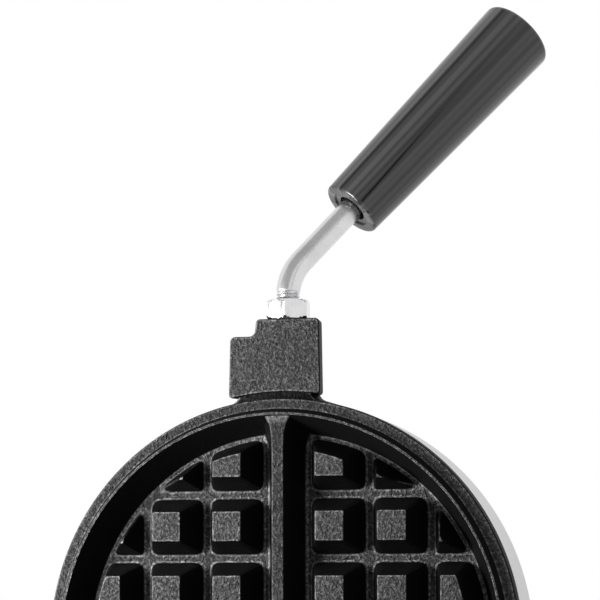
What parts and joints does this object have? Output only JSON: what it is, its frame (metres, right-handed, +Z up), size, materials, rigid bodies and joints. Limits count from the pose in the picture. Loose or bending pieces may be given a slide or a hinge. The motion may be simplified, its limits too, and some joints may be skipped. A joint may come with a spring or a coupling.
{
  "type": "waffle maker",
  "caption": "Countertop waffle maker with round deep-grid plates, a lid on a rear hinge, a bent rod handle with a tapered grip, a drip tray and front controls.",
  "frame": {"origin": "under the middle of the whole open part, on the plane that the feet stand on", "axes": "+Z up, -Y toward the control panel, +Y toward the hinge, +X to the right seen from the front"},
  "size_m": [0.2548, 0.444, 0.5387],
  "materials": {
    "cast_black": "seasoned black, grainy",
    "stainless": "brushed",
    "panel_black": "satin",
    "bright_steel": "polished",
    "spring_steel": "oiled",
    "black_bakelite": "glossy",
    "brass": "turned",
    "element_steel": "heat stained",
    "fibre": "pressed fibre",
    "rubber": "matte",
    "knob_black": "fine grain",
    "shaft_steel": "turned",
    "case_grey": "moulded",
    "ceramic": "unglazed ceramic",
    "rocker_red": "glossy",
    "lens_red": "translucent lens",
    "lens_green": "translucent lens"
  },
  "bodies": {
    "base": {"base_housing": "stainless", "base_lead_grommet": "rubber", "bottom_pan": "stainless", "cable_gland": "knob_black", "control_panel": "panel_black", "cup_bolts": "bright_steel", "cup_lead_grommet": "rubber", "cup_spacers": "bright_steel", "drip_tray": "stainless", "foot_back_left": "rubber", "foot_back_right": "rubber", "foot_front_left": "rubber", "foot_front_right": "rubber", "foot_screws": "bright_steel", "gland_lock_nut": "brass", "hinge_pin": "bright_steel", "hinge_retaining_rings": "spring_steel", "lid_lead_inlet": "rubber", "lid_stop_pin": "bright_steel", "lower_clamp_screw": "bright_steel", "lower_cover": "stainless", "lower_element_clamp": "element_steel", "lower_grid_plate": "cast_black", "lower_heating_element": "element_steel", "lower_insulation_pad": "fibre", "pan_screws": "bright_steel", "power_lamp_body": "case_grey", "power_lamp_lens": "lens_red", "ready_lamp_body": "case_grey", "ready_lamp_lens": "lens_green", "switch_body": "knob_black", "terminal_block": "ceramic", "terminal_screws": "brass", "thermostat_body": "case_grey", "timer_body": "case_grey"},
    "lid": {"grip_insert": "brass", "handle_grip": "black_bakelite", "handle_lock_nut": "bright_steel", "handle_rod": "bright_steel", "lid_lead_grommet": "rubber", "upper_clamp_screw": "bright_steel", "upper_cover": "stainless", "upper_cover_screws": "bright_steel", "upper_element_clamp": "element_steel", "upper_grid_plate": "cast_black", "upper_heating_element": "element_steel", "upper_insulation_pad": "fibre"},
    "timer_dial": {"timer_knob": "knob_black", "timer_shaft": "shaft_steel"},
    "thermostat_dial": {"thermostat_knob": "knob_black", "thermostat_shaft": "shaft_steel"},
    "rocker": {"power_rocker": "rocker_red"}
  },
  "joints": [
    {"name": "lid_hinge", "type": "hinge", "parent": "base", "child": "lid", "pos_m": [0, 0.06007, 0.1662], "axis": [1, 0, 0], "range_deg": [0, 100]},
    {"name": "timer_turn", "type": "hinge", "parent": "base", "child": "timer_dial", "pos_m": [-0.072, -0.19719, 0.083], "axis": [0, 0.9397, -0.342], "range_deg": [0, 300]},
    {"name": "thermostat_turn", "type": "hinge", "parent": "base", "child": "thermostat_dial", "pos_m": [0.072, -0.19719, 0.083], "axis": [0, 0.9397, -0.342], "range_deg": [0, 270]},
    {"name": "rocker_tilt", "type": "hinge", "parent": "base", "child": "rocker", "pos_m": [0, -0.20168, 0.07506], "axis": [1, 0, 0], "range_deg": [0, 16]}
  ]
}
